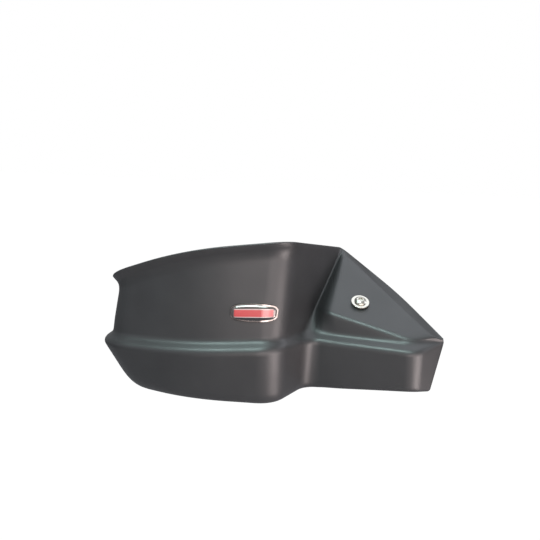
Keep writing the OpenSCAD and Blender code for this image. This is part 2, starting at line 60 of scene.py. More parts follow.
def placeFor(piece, matrix):
    # the place goes into the mesh, and the object stays at the origin
    choose(piece)
    piece.matrix_world = matrix @ piece.matrix_world
    bpy.ops.object.transform_apply(location=True, rotation=True, scale=True)


def applyModifier(piece, kind, **settings):
    choose(piece)
    modifier = piece.modifiers.new(kind.title(), kind)
    for key, value in settings.items():
        setattr(modifier, key, value)
    bpy.ops.object.modifier_apply(modifier=modifier.name)


def cutWith(piece, cutter):
    applyModifier(piece, "BOOLEAN", operation="DIFFERENCE", solver="EXACT", object=cutter)
    bpy.data.objects.remove(cutter, do_unlink=True)


def roundCutter(radius, low, high, matrix, steps=64):
    clearSelection()
    bpy.ops.mesh.primitive_cylinder_add(
        vertices=steps, radius=radius * mm, depth=(high - low) * mm, location=(0, 0, (low + high) / 2 * mm))
    cutter = bpy.context.object
    placeFor(cutter, matrix)
    return cutter


def cleanMesh(piece, outward=True):
    choose(piece)
    setMode("EDIT")
    bpy.ops.mesh.select_all(action="SELECT")
    bpy.ops.mesh.remove_doubles(threshold=1e-6)
    if outward:
        bpy.ops.mesh.normals_make_consistent(inside=False)
    setMode("OBJECT")


def dress(piece, name, node, finishes, smooth=32):
    piece.name = name
    piece.data.name = name
    choose(piece)
    bpy.ops.object.shade_smooth_by_angle(angle=math.radians(smooth))
    for finish in finishes:
        piece.data.materials.append(finish)
    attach(piece, "root")
    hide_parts(node)
    print("made", name, len(piece.data.polygons), "faces")


# Lines and rounds that the moulding, the strap and the clamp share

def mix(a, b, t):
    return a + (b - a) * t


def bendPoint(a, p, b, t):
    return a * (1 - t) ** 2 + p * (2 * t * (1 - t)) + b * t ** 2


def roundedLine(points, radii, counts, runs=None):
    # a line with rounded inner corners: counts are the points on each round, runs those between rounds
    last = len(points) - 1
    line = []
    for i, p in enumerate(points):
        if i in (0, last):
            start = end = p.copy()
            rounding = [start]
        else:
            a = points[i - 1] - p
            b = points[i + 1] - p
            start = p + a.normalized() * min(radii[i], 0.48 * a.length)
            end = p + b.normalized() * min(radii[i], 0.48 * b.length)
            rounding = [bendPoint(start, p, end, k / (counts[i] - 1)) for k in range(counts[i])]
        if i and runs:
            line += [mix(left, start, k / (runs[i - 1] + 1)) for k in range(1, runs[i - 1] + 1)]
        line += rounding
        left = end
    return line


def softLoop(points, radius, count=3):
    # a closed outline whose corners are all rounded
    loop = []
    size = len(points)
    for i in range(size):
        p = Vector(points[i])
        a = Vector(points[i - 1]) - p
        b = Vector(points[(i + 1) % size]) - p
        r = radius[i] if isinstance(radius, (list, tuple)) else radius
        if r <= 0:
            loop.append(p)
            continue
        start = p + a.normalized() * min(r, 0.45 * a.length)
        end = p + b.normalized() * min(r, 0.45 * b.length)
        loop += [bendPoint(start, p, end, k / count) for k in range(count + 1)]
    return loop


# Finishes

def linear(hexText):
    # sRGB hex to a linear colour
    parts = [int(hexText[i:i + 2], 16) / 255 for i in (1, 3, 5)]
    return tuple(c / 12.92 if c <= 0.04045 else ((c + 0.055) / 1.055) ** 2.4 for c in parts) + (1.0,)


def addNode(tree, kind, settings=None, links=None):
    node = tree.nodes.new(kind)
    for key, value in (settings or {}).items():
        if isinstance(key, str) and hasattr(node, key):
            setattr(node, key, value)
        else:
            node.inputs[key].default_value = value
    for key, source in (links or {}).items():
        tree.links.new(source, node.inputs[key])
    return node


def newFinish(name, colour, roughness, metallic=0.0, **sockets):
    finish = bpy.data.materials.new(name)
    finish.use_nodes = True
    tree = finish.node_tree
    shader = tree.nodes["Principled BSDF"]
    shader.inputs["Base Color"].default_value = linear(colour)
    shader.inputs["Roughness"].default_value = roughness
    shader.inputs["Metallic"].default_value = metallic
    for key, value in sockets.items():
        shader.inputs[key.replace("_", " ")].default_value = value
    coords = addNode(tree, "ShaderNodeTexCoord").outputs["Object"]
    return finish, tree, shader, coords


def noise(tree, coords, sizeMm, detail):
    # one noise cell is about sizeMm across
    settings = {"Scale": 1000.0 / sizeMm, "Detail": detail}
    return addNode(tree, "ShaderNodeTexNoise", settings, {"Vector": coords}).outputs["Fac"]


def toRange(tree, value, low, high, fromLow=0.3, fromHigh=0.7):
    return addNode(tree, "ShaderNodeMapRange",
                   {"From Min": fromLow, "From Max": fromHigh, "To Min": low, "To Max": high},
                   {"Value": value}).outputs["Result"]


def calc(tree, operation, first, second=0.0):
    # each input is a number or a socket
    node = addNode(tree, "ShaderNodeMath", {"operation": operation})
    for k, value in enumerate((first, second)):
        if isinstance(value, (int, float)):
            node.inputs[k].default_value = value
        else:
            tree.links.new(value, node.inputs[k])
    return node.outputs["Value"]


def mottle(tree, shader, factor, first, second):
    # the colour drifts between two close tones
    ramp = addNode(tree, "ShaderNodeValToRGB", None, {"Fac": factor})
    for stop, colour, position in zip(list(ramp.color_ramp.elements), (first, second), (0.35, 0.65)):
        stop.color = linear(colour)
        stop.position = position
    tree.links.new(ramp.outputs["Color"], shader.inputs["Base Color"])


def varySheen(tree, shader, factor, low, high):
    tree.links.new(toRange(tree, factor, low, high), shader.inputs["Roughness"])


def addBump(tree, shader, height, depthMm, strength=1.0, normal=None):
    links = {"Height": height}
    if normal:
        links["Normal"] = normal
    bump = addNode(tree, "ShaderNodeBump", {"Strength": strength, "Distance": depthMm * mm}, links)
    tree.links.new(bump.outputs["Normal"], shader.inputs["Normal"])
    return bump.outputs["Normal"]


def mouldedAbs():
    # injection-moulded ABS from a fine spark-eroded tool: a deep black with a soft satin sheen
    finish, tree, shader, coords = newFinish("mouldedAbs", "#252526", 0.43, IOR=1.54)
    mottle(tree, shader, noise(tree, coords, 38, 3), "#212122", "#262627")
    varySheen(tree, shader, noise(tree, coords, 26, 4), 0.41, 0.47)
    # real grain is about 0.1 mm; drawn at 0.5 mm so that the render can show it
    slow = addBump(tree, shader, noise(tree, coords, 9, 1), 0.018, 0.35)
    addBump(tree, shader, noise(tree, coords, 0.5, 2), 0.012, 0.5, slow)
    return finish


def polishedStainless():
    # A2 stainless fastener, barrel polished: soft, slightly creamy reflections with faint turning marks
    finish, tree, shader, coords = newFinish("polishedStainless", "#bdbbb2", 0.3, 1.0)
    varySheen(tree, shader, noise(tree, coords, 2.5, 3), 0.25, 0.36)
    addBump(tree, shader, noise(tree, coords, 0.35, 2), 0.004, 0.5)
    return finish


def zincPlate():
    # bright zinc plating on steel: cool grey, slightly cloudy
    finish, tree, shader, coords = newFinish("zincPlate", "#b6babd", 0.32, 1.0)
    mottle(tree, shader, noise(tree, coords, 4, 3), "#acb0b4", "#c0c2c3")
    varySheen(tree, shader, noise(tree, coords, 1.8, 3), 0.25, 0.42)
    addBump(tree, shader, noise(tree, coords, 0.4, 2), 0.005, 0.5)
    return finish


def mouldedRubber():
    # moulded EPDM: dull black with a dusty bloom
    finish, tree, shader, coords = newFinish("mouldedRubber", "#1a1a1a", 0.75, IOR=1.5)
    mottle(tree, shader, noise(tree, coords, 3, 4), "#161616", "#222221")
    varySheen(tree, shader, noise(tree, coords, 1.5, 3), 0.66, 0.84)
    addBump(tree, shader, noise(tree, coords, 0.6, 3), 0.02, 0.6)
    return finish


def powderCoat():
    # black powder coat on pressed steel: fine orange peel under a semi-matt skin
    finish, tree, shader, coords = newFinish("powderCoat", "#222325", 0.46, Coat_Weight=0.15,
                                             Coat_Roughness=0.3)
    varySheen(tree, shader, noise(tree, coords, 12, 2), 0.42, 0.52)
    addBump(tree, shader, noise(tree, coords, 1.1, 2), 0.03, 0.6)
    return finish


def castAlloy():
    # sand-blasted pressure-die-cast aluminium: pale grey, grainy, no sharp reflections
    finish, tree, shader, coords = newFinish("castAlloy", "#9fa1a3", 0.52, 1.0)
    mottle(tree, shader, noise(tree, coords, 5, 4), "#95979a", "#a8aaab")
    varySheen(tree, shader, noise(tree, coords, 2, 3), 0.46, 0.6)
    addBump(tree, shader, noise(tree, coords, 0.5, 3), 0.03, 0.8)
    return finish


def badgeFoil():
    # vacuum-metallised badge base: a smoked mirror
    finish, tree, shader, coords = newFinish("badgeFoil", "#8f8985", 0.12, 1.0)
    varySheen(tree, shader, noise(tree, coords, 3, 2), 0.09, 0.17)
    return finish


def whiteNylon():
    # the locking ring of a nyloc nut: waxy, off-white
    finish, tree, shader, coords = newFinish("whiteNylon", "#d8d6cc", 0.5, IOR=1.53)
    varySheen(tree, shader, noise(tree, coords, 1.5, 2), 0.42, 0.58)
    return finish


satinAbs = mouldedAbs()
stainless = polishedStainless()
zinc = zincPlate()
rubber = mouldedRubber()
coat = powderCoat()
alloy = castAlloy()
foil = badgeFoil()
nylon = whiteNylon()
print("finishes ready")

# Sizes of the moulding

guard = {
    "reachOut": 180, "reachIn": 84, "frontY": 90, "bulge": 52, "crown": 18, "rearY": 20, "browX": -24,
    "valleyX": -9, "ledgeZ": 24, "keelZ": 19, "ledgeW": 8.5, "ledgeH": 7, "deflectorH": 90, "lipDrop": 34,
    "hemW": 13, "lipFlare": 6, "wall": 3,
    "panelX": 28, "panelY": 60, "panelZ": 55, "panelTilt": 60, "panelTurn": 25,
    "edgeSoft": 1.1, "rimSteps": 6, "fine": 2, "bandRow": 19, "lipThin": 0.5, "lipTurn": 6,
    "panelHoleR": 6.1, "endHoleR": 4.7,
}
panelTilt = math.radians(guard["panelTilt"])
panelTurn = math.radians(guard["panelTurn"])
panelCentre = Vector((guard["panelX"], -guard["panelY"], guard["panelZ"]))
panelNormal = Vector((math.cos(panelTilt) * math.sin(panelTurn), -math.cos(panelTilt) * math.cos(panelTurn),
                      math.sin(panelTilt)))
panelPlace = (Matrix.Translation(panelCentre * mm) @ Matrix.Rotation(panelTurn, 4, "Z")
              @ Matrix.Rotation(math.pi / 2 - panelTilt, 4, "X"))
barEndPlace = (Matrix.Translation((-guard["reachOut"] * mm, 0, 0)) @ Matrix.Rotation(-math.pi / 2, 4, "Y"))


def onPanel(x, y, off=0.0):
    n = panelNormal
    c = panelCentre
    return (x, y, c.z + (off - n.x * (x - c.x) - n.y * (y - c.y)) / n.z)


def guardCornerLines():
    g = guard
    ro, ri, fy, ry = g["reachOut"], g["reachIn"], g["frontY"], g["rearY"]
    lz, kz, lw, lh = g["ledgeZ"], g["keelZ"], g["ledgeW"], g["ledgeH"]
    bx, vx = g["browX"], g["valleyX"]
    noseY = -fy - g["bulge"]
    browZ = lz + lh + 5
    apexX = vx + 4
    tipX = ri + 20
    sideY = -ry - 4
    lipZ = browZ + g["deflectorH"] - 7
    low = noseY - g["crown"]
    shoulder = [
        (-ro, ry, lz - 6), (-ro, sideY, lz - 6), (-ro - 8.5, low + 2, lz), (bx - 78, low, lz),
        (bx, noseY, lz + 5), (vx, -fy, lz + 2), (vx + 22, -fy, lz + 1), (ri, -fy, lz),
        (ri + 19.5, -fy + 29.5, lz + 3.5)]
    keel = [
        (-ro, ry, -kz), (-ro, sideY, -kz), (-ro + 12.5, low + 22, -kz - 1), (bx - 75, low + 8, -kz - 0.8),
        (bx - 2.5, noseY + 7, -kz - 2.5), (vx - 4, -fy + 5, -kz - 1.5), (vx + 22, -fy + 3, -kz + 1),
        (ri - 1, -fy + 3, -kz + 7), (ri + 11, -fy + 20, -kz + 4)]
    inward = [(1, 0), (1, 0), (1, 0.9), (0.1, 1), (-0.7, 1), (-0.6, 1), (0, 1), (-0.6, 0.7), (-0.8, 0.2)]
    hem = [(p[0] + g["hemW"] * d[0], p[1] + g["hemW"] * d[1], p[2] - 1) for p, d in zip(keel, inward)]
    root = [
        (-ro + lw, ry, lz + 2), (-ro + lw, sideY, lz + 2), (-ro - 8.5 + lw, low + 2 + lw, lz + lh - 2),
        (bx - 77, low + lw, lz + lh), (bx, noseY + lw, browZ), (vx - 6, -fy + lw - 1, browZ - 4),
        (vx + 16, -fy + lw, lz + lh), (ri - 5, -fy + lw, lz + lh - 2), (ri + 19.5, -fy + 29.1, lz + 4.5)]
    wallTop = [
        (-ro + lw + 1, ry, lz + 10), (-ro + lw + 1, sideY, lz + 14),
        (-ro + lw - 0.5, low + lw + 7, lipZ - g["lipDrop"] - 6), (bx - 76, low + lw + 5, lipZ - 13.5),
        (bx + 6, noseY + lw + 9, lipZ - 4), onPanel(apexX, -9, -1), onPanel(apexX + 6, -8),
        onPanel(ri + 9, -fy + 21.5), (ri + 19.3, -fy + 28.3, lz + 6.2)]
    flare = g["lipFlare"]
    lip = [
        (-ro + lw + 1 - flare, ry, lz + 14), (-ro + lw + 1 - flare, sideY, lz + 18),
        (-ro + lw - flare, low + lw + 7 - flare, lipZ - g["lipDrop"] - 3.5),
        (bx - 76, low + lw + 5 - flare, lipZ - 9.5), (bx + 8, noseY + lw + 9 - flare, lipZ),
        onPanel(apexX + 1, -2, 0.5), onPanel(apexX + 6, 0, -2.5),
        onPanel((apexX + tipX) / 2 + 8, -29.5, -3.5), onPanel(tipX - 1, -fy + 27.7, -3.5)]
    root = [Vector(p) for p in root]
    # the wall starts turning out lower than the solid's corner does, as the real lip is one soft curve
    turns = (0, 0.4, 1, 1, 1, 0.5, 0, 0, 0)
    wallTop = [Vector(p) - Vector((0, 0, g["lipTurn"] * share)) for p, share in zip(wallTop, turns)]
    crest = [mix(root[i], wallTop[i], 0.3) for i in range(6)]
    crest += [Vector(onPanel(vx + 12, -fy + 9)), Vector(onPanel(ri - 6, -fy + 11)),
              Vector((ri + 19.4, -fy + 28.7, lz + 5.3))]
    return [[Vector(p) for p in line] for line in (hem, keel, shoulder, root, crest, wallTop, lip)]


# how far each corner is rounded, along the lines and across them
roundsAlong = [
    [0, 8, 20, 40, 14, 10, 8, 8, 0], [0, 12, 30, 40, 16, 13, 8, 9, 0], [0, 16, 38, 40, 18, 14, 8, 10, 0],
    [0, 16, 30, 40, 17, 8, 8, 10, 0], [0, 16, 27, 40, 17, 5, 7, 10, 0], [0, 16, 25, 40, 18, 4, 5, 10, 0],
    [0, 16, 30, 40, 20, 4, 4, 22, 0]]
roundsAcross = [
    [0, 0, 0, 0, 0, 0, 0, 0, 0], [8, 10, 20, 13, 11, 7, 6, 5, 3], [4.5, 4.5, 5, 5, 5, 4.5, 4.5, 4.5, 4],
    [3.5, 3.5, 3.5, 3.5, 3.5, 3.5, 3.5, 3.5, 2], [3.5, 3.5, 3.5, 3.5, 3.5, 3.5, 4, 3, 1],
    [3, 5, 8, 8, 8, 4, 3, 3, 1], [0, 0, 0, 0, 0, 0, 0, 0, 0]]


def stepsFor(counts):
    return [n if n == 1 else n * guard["fine"] for n in counts]


def valueAt(values, station):
    i = min(int(math.floor(station)), len(values) - 2)
    return mix(values[i], values[i + 1], station - i)


def guardStations(counts, runs):
    # the station of each column, so that values between two stations can be found
    stations = []
    for i, n in enumerate(counts):
        half = 0 if n == 1 else 0.48
        if i:
            a, b = stations[-1], i - half
            stations += [mix(a, b, k / (runs[i - 1] + 1)) for k in range(1, runs[i - 1] + 1)]
        stations += [i] if n == 1 else [i + (k / (n - 1) - 0.5) * 2 * half for k in range(n)]
    return stations


def guardFace():
    # the outer face as a grid of points: one column for each place along, one row for each place across
    counts = stepsFor([1, 4, 10, 8, 9, 9, 6, 8, 1])
    runs = [n * guard["fine"] for n in (0, 2, 1, 1, 1, 3, 2, 2)]
    across = stepsFor([1, 8, 6, 5, 5, 5, 1])
    acrossRuns = [n * guard["fine"] for n in (0, 0, 0, 3, 0, 0)]
    lines = [roundedLine(line, radii, counts, runs) for line, radii in zip(guardCornerLines(), roundsAlong)]
    stations = guardStations(counts, runs)
    columns = []
    for c, station in enumerate(stations):
        corners = [line[c] for line in lines]
        radii = [valueAt(row, station) for row in roundsAcross]
        columns.append(roundedLine(corners, radii, across, acrossRuns))
    return columns, stations


def unitOr(v, other):
    return v.normalized() if v.length > 1e-9 else other


face, faceStations = guardFace()
faceCols = len(face)
faceRows = len(face[0])


def alongAt(c, r):
    return unitOr(face[min(c + 1, faceCols - 1)][r] - face[max(c - 1, 0)][r], Vector((1, 0, 0)))


def acrossAt(c, r):
    return unitOr(face[c][min(r + 1, faceRows - 1)] - face[c][max(r - 1, 0)], Vector((0, 0, 1)))


def outwardAt(c, r):
    return unitOr(alongAt(c, r).cross(acrossAt(c, r)), Vector((0, -1, 0)))


def wallWay(c, r):
    # square to the face, and towards the tip square to the band below it for all upper rows
    way = outwardAt(c, r)
    if r < guard["fine"] * 11.5:
        return way
    return mix(way, outwardAt(c, guard["bandRow"]), max(0.0, (faceStations[c] - 7.4) / 0.6)).normalized()


def guardLoop(c, half, shift):
    # the closed section at a column: outer face, lip rim, inner face and hem rim
    t = guard["wall"]
    soft = guard["edgeSoft"]
    steps = guard["rimSteps"]
    middles = []
    ways = [wallWay(c, r) for r in range(faceRows)]
    thick = [t] * (faceRows - 1) + [t * guard["lipThin"]]
    for r in range(faceRows):
        p = face[c][r] - ways[r] * (thick[r] / 2) + alongAt(c, r) * shift
        if r == 0:
            p += acrossAt(c, r) * soft
        if r == faceRows - 1:
            p -= acrossAt(c, r) * soft * guard["lipThin"]
        middles.append(p)
    normals = [w * (h / 2 * half) for w, h in zip(ways, thick)]
    loop = [m + n for m, n in zip(middles, normals)]
    for k in range(1, steps):
        turn = math.pi * k / steps
        rim = acrossAt(c, faceRows - 1) * (soft * guard["lipThin"] * math.sin(turn) * half)
        loop.append(middles[-1] + normals[-1] * math.cos(turn) + rim)
    loop += [m - n for m, n in zip(reversed(middles), reversed(normals))]
    for k in range(1, steps):
        turn = math.pi * k / steps
        rim = acrossAt(c, 0) * (soft * math.sin(turn) * half)
        loop.append(middles[0] - normals[0] * math.cos(turn) - rim)
    return loop


def makeGuardShell():
    soft = guard["edgeSoft"]
    steps = guard["rimSteps"] // 2
    sections = []
    for k in range(steps, 0, -1):
        turn = math.pi / 2 * k / steps
        sections.append(guardLoop(0, math.cos(turn), soft * (1 - math.sin(turn))))
    sections.append(guardLoop(0, 1.0, soft))
    sections += [guardLoop(c, 1.0, 0.0) for c in range(1, faceCols - 1)]
    sections.append(guardLoop(faceCols - 1, 1.0, -soft))
    for k in range(1, steps + 1):
        turn = math.pi / 2 * k / steps
        sections.append(guardLoop(faceCols - 1, math.cos(turn), -soft * (1 - math.sin(turn))))
    wide = len(sections) - 1
    tall = len(sections[0])
    clearSelection()
    bpy.ops.mesh.primitive_grid_add(x_subdivisions=wide, y_subdivisions=tall, size=2)
    piece = bpy.context.object
    for vertex in piece.data.vertices:
        c = round((vertex.co.x + 1) / 2 * wide)
        r = round((vertex.co.y + 1) / 2 * tall)
        vertex.co = sections[c][r % tall] * mm
    cleanMesh(piece)
    for matrix, radius in ((panelPlace, guard["panelHoleR"]), (barEndPlace, guard["endHoleR"])):
        cutWith(piece, roundCutter(radius, -guard["wall"] - 2, 2, matrix))
    dress(piece, "guardShell", "shell", [satinAbs], 40)


makeGuardShell()

# Turned pieces: each ring is a radius and a height, "hex" rings take a size across half their flats


def ringRadius(ring, angle):
    if len(ring) == 2:
        return ring[0]
    corner = ring[0] / math.cos((angle % (math.pi / 3)) - math.pi / 6)
    return min(corner, ring[3]) if len(ring) > 3 else corner


def turned(rings, steps=48, joined=True):
    # a ring of edges is pulled up from ring to ring, as on a lathe
    clearSelection()
    bpy.ops.mesh.primitive_circle_add(vertices=steps, radius=rings[0][0] * mm, fill_type="NOTHING")
    piece = bpy.context.object
    setMode("EDIT")
    bpy.ops.mesh.select_mode(type="VERT")
    bpy.ops.mesh.select_all(action="SELECT")
    mesh = bmesh.from_edit_mesh(piece.data)
    for i, ring in enumerate(rings):
        if i:
            bpy.ops.mesh.extrude_region_move()
            mesh = bmesh.from_edit_mesh(piece.data)
        for vertex in mesh.verts:
            if vertex.select:
                angle = math.atan2(vertex.co.y, vertex.co.x)
                r = ringRadius(ring, angle) * mm
                vertex.co = (r * math.cos(angle), r * math.sin(angle), ring[1] * mm)
    bmesh.update_edit_mesh(piece.data)
    bpy.ops.mesh.select_all(action="SELECT")
    bpy.ops.mesh.remove_doubles(threshold=1e-7)
    if not joined:
        bpy.ops.mesh.fill_holes(sides=0)
    bpy.ops.mesh.select_all(action="SELECT")
    bpy.ops.mesh.normals_make_consistent(inside=False)
    setMode("OBJECT")
    return piece


def turnedRing(points, radius, steps=48, count=3):
    loop = [tuple(p) for p in softLoop(points, radius, count)]
    return turned(loop + [loop[0]], steps)


def threadRings(r, low, high, pitch):
    # rolled thread, drawn as parallel ridges
    root = r - 0.54 * pitch
    rings = []
    for i in range(int((high - low) / pitch)):
        z = low + i * pitch
        rings += [(root, z + 0.1 * pitch), (root, z + 0.2 * pitch)]
        rings += [(r, z + 0.55 * pitch), (r, z + 0.7 * pitch)]
    return rings


def buttonScrew(screw, place, name, node, finish):
    d, length, flats = screw["d"], screw["length"], screw["flats"]
    headR, headH = 0.875 * d, 0.55 * d
    ball = 1.15 * d
    shares = (1, 0.97, 0.9, 0.8, 0.68, 0.55)
    rise = [math.sqrt(ball * ball - (headR * k) ** 2) + headH - ball for k in shares]
    top = rise[-1]
    r = d / 2
    half = flats / 2
    floor = headH * 0.42
    rings = [(r - 1.1, -length), (r - 0.4, -length + 0.7)]
    rings += threadRings(r, -length + 0.8, -screw["plain"], screw["pitch"])
    rings += [(r, -screw["plain"] + 0.2), (r, -0.3), (r + 0.3, 0), (headR - 0.3, 0), (headR, 0.25)]
    rings += [(headR * k, z) for k, z in zip(shares, rise)]
    rings += [(half + 0.3, top + 0.12, "hex"), (half + 0.08, top + 0.1, "hex"), (half, top - 0.15, "hex"),
              (half, floor, "hex"), (half * 0.9, floor - 0.05, "hex"), (0.4, floor - 0.5)]
    piece = turned(rings, 48, False)
    placeFor(piece, place)
    dress(piece, name, node, [finish], 35)


def flatWasher(sizes, place, name, node, finish):
    inner, outer, low, high = sizes["inner"], sizes["outer"], sizes["low"], sizes["high"]
    piece = turnedRing([(inner, low), (outer, low), (outer, high), (inner, high)], 0.28, 64)
    placeFor(piece, place)
    dress(piece, name, node, [finish], 40)


# Fixing on the bolt panel, from the outside in

panelKit = {
    "screw": {"d": 6, "length": 25, "flats": 4, "plain": 3.0, "pitch": 1.0},
    "seat": 2.8,
    "washer": {"inner": 3.2, "outer": 8, "low": 1.2, "high": 2.8},
    "nutWasher": {"inner": 3.2, "outer": 6, "low": -13.6, "high": -12.0},
    "grommet": [(4.6, 1.2), (7.5, 1.2), (7.5, 0), (6.1, 0), (6.1, -3), (8.5, -3), (8.5, -5), (4.6, -5)],
    "collar": [(3.2, 1.2), (4.4, 1.2), (4.4, -5), (7.5, -5), (7.5, -9), (3.2, -9)],
    "nutFlats": 9.75, "nutTop": -13.6, "nutH": 5.7, "nutBore": 3.1,
}


def makePanelKit():
    kit = panelKit
    seat = panelPlace @ Matrix.Translation((0, 0, kit["seat"] * mm))
    buttonScrew(kit["screw"], seat, "panelScrew", "panel_bolt", stainless)
    flatWasher(kit["washer"], panelPlace, "panelScrewWasher", "panel_washer", stainless)
    flatWasher(kit["nutWasher"], panelPlace, "panelNutWasher", "panel_nut_washer", zinc)
    piece = turnedRing(kit["grommet"], [0.2, 0.5, 0.3, 0.3, 0.3, 0.5, 0.5, 0.3], 64)
    placeFor(piece, panelPlace)
    dress(piece, "panelGrommet", "panel_grommet", [rubber], 40)
    piece = turnedRing(kit["collar"], [0.2, 0.3, 0.5, 0.4, 0.5, 0.3], 64)
    placeFor(piece, panelPlace)
    dress(piece, "panelCollar", "panel_collar", [zinc], 40)


def makeLockNut():
    kit = panelKit
    top = kit["nutTop"]
    half = kit["nutFlats"] / 2
    corner = half / math.cos(math.pi / 6)
    hexBottom = top - kit["nutH"] + 1.8
    end = top - kit["nutH"]
    caps = [half - 0.15, half + 0.2, half + 0.45, corner]
    bore = kit["nutBore"]
    ring = half - 0.55
    rings = [(bore, top), (caps[0] - 0.4, top)]
    rings += [(half, top - (c - caps[0]) * 0.58, "hex", c) for c in caps]
    rings += [(half, hexBottom + (c - caps[0]) * 0.58, "hex", c) for c in reversed(caps)]
    rings += [(ring, hexBottom), (ring - 0.1, hexBottom - 0.3), (ring - 0.1, end + 0.5),
              (ring - 0.35, end + 0.1), (ring - 0.65, end), (ring - 0.75, end + 0.2),
              (ring - 0.85, end + 0.3), (bore - 0.1, end + 0.35), (bore - 0.15, end + 0.6),
              (bore, end + 1.2), (bore, top)]
    piece = turned(rings, 48)
    placeFor(piece, panelPlace)
    dress(piece, "panelLockNut", "panel_nut", [zinc, nylon], 30)
    inverse = panelPlace.inverted()
    for polygon in piece.data.polygons:
        c = inverse @ polygon.center
        if end + 0.25 < c.z / mm < end + 1.1 and math.hypot(c.x, c.y) / mm < ring - 0.8:
            polygon.material_index = 1


makePanelKit()
makeLockNut()

# Bent strap from the clamp to the bolt panel

strap = {"w": 25, "t": 3, "end": 13, "tab": 31, "foot": 13, "bendR": 4, "clampTop": 26, "tabTop": -9,
         "across": 12, "hole": 4.2, "panelHole": 3.2, "footTrim": 0.52, "tailIn": 5.5, "edge": 0.45}


def strapPath():
    s = strap
    run = math.hypot(guard["panelX"], guard["panelY"])
    slope = Vector((math.sin(panelTilt), math.cos(panelTilt)))
    mid = s["tabTop"] - s["t"] / 2
    tab = Vector((-run - mid * math.cos(panelTilt), guard["panelZ"] + mid * math.sin(panelTilt)))
    footZ = s["clampTop"] + s["t"] / 2
    line = [Vector((s["foot"] - s["footTrim"], footZ)), Vector((-s["foot"] - s["bendR"] / 2, footZ)),
            tab + slope * s["tab"], tab - slope * s["end"]]
    radii = [0]
    for i in (1, 2):
        a = (line[i - 1] - line[i]).normalized()
        b = (line[i + 1] - line[i]).normalized()
        radii.append((s["bendR"] + s["t"] / 2) / math.tan(a.angle(b) / 2))
    path = roundedLine(line, radii + [0], [1, 13, 13, 1])
    # more points where the ends are rounded in plan
    start, end = path[0], path[-1]
    head = [mix(start, path[1], t) for t in (0, 0.01, 0.03, 0.07, 0.13, 0.2, 0.3, 0.42, 0.6, 0.8)]
    tail = [mix(path[-2], end, t) for t in (0.5, 0.62, 0.7, 0.78, 0.85, 0.9, 0.94, 0.97, 0.985, 1)]
    return head + path[1:-1] + tail, run


def makeStrap():
    s = strap
    path, run = strapPath()
    half = s["w"] / 2
    tailCentre = -run + s["tailIn"]
    clearSelection()
    bpy.ops.mesh.primitive_grid_add(x_subdivisions=len(path) - 1, y_subdivisions=s["across"], size=2)
    piece = bpy.context.object
    for vertex in piece.data.vertices:
        i = round((vertex.co.x + 1) / 2 * (len(path) - 1))
        side = vertex.co.y
        y, z = path[i]
        reach = half
        if y > 0:
            reach = math.sqrt(max(half ** 2 - y ** 2, 0.2))
        elif y < tailCentre:
            reach = math.sqrt(max(half ** 2 - (y - tailCentre) ** 2, 0.2))
        vertex.co = Vector((side * reach, y, z)) * mm
    cleanMesh(piece, False)
    applyModifier(piece, "SOLIDIFY", thickness=s["t"] * mm, offset=0.0, use_even_offset=True)
    cleanMesh(piece)
    placeFor(piece, Matrix.Rotation(math.atan2(guard["panelX"], guard["panelY"]), 4, "Z"))
    t, tabTop, clampTop = s["t"], s["tabTop"], s["clampTop"]
    cutWith(piece, roundCutter(s["panelHole"], tabTop - 3 * t, tabTop + t, panelPlace, 48))
    cutWith(piece, roundCutter(s["hole"], clampTop - 2, clampTop + t + 2, Matrix.Identity(4), 48))
    applyModifier(piece, "BEVEL", width=s["edge"] * mm, segments=3, limit_method="ANGLE",
                  angle_limit=math.radians(50))
    dress(piece, "bentStrap", "bracket", [coat], 35)


makeStrap()

# Clamp: two cast halves on a rubber liner

clamp = {
    "w": 26, "top": 26, "gap": 1.2, "lug": 26.2, "upperLug": 13.6, "lowerLug": -7.6, "boss": 15, "outR": 18,
    "linerR": 12.6, "barR": 11.1, "screwY": 19, "screwD": 6, "grip": 11, "spotR": 5.9, "cornerR": 2.5,
    "splitR": 0.6, "edge": 0.7, "screwHoleR": 3.2, "screwTapR": 3.1, "boltTapR": 4.1, "boltTapZ": 14,
    "springR": 5.4, "springH": 1.5, "springSlit": 0.5, "springTurn": 35,
    "bolt": {"d": 8, "length": 16, "flats": 5, "plain": 3.0, "pitch": 1.25},
}


def castBlock(outline):
    # the outline is drawn with a ring of points, filled and pulled along the bore
    clearSelection()
    bpy.ops.mesh.primitive_circle_add(vertices=len(outline), radius=1, fill_type="NOTHING")
    piece = bpy.context.object
    wide = clamp["w"] * mm
    for vertex, point in zip(piece.data.vertices, outline):
        vertex.co = (-wide / 2, point[0] * mm, point[1] * mm)
    setMode("EDIT")
    bpy.ops.mesh.select_all(action="SELECT")
    bpy.ops.mesh.edge_face_add()
    bpy.ops.mesh.extrude_region_move(TRANSFORM_OT_translate={"value": (wide, 0, 0)})
    bpy.ops.mesh.select_all(action="SELECT")
    bpy.ops.mesh.normals_make_consistent(inside=False)
    setMode("OBJECT")
    return piece


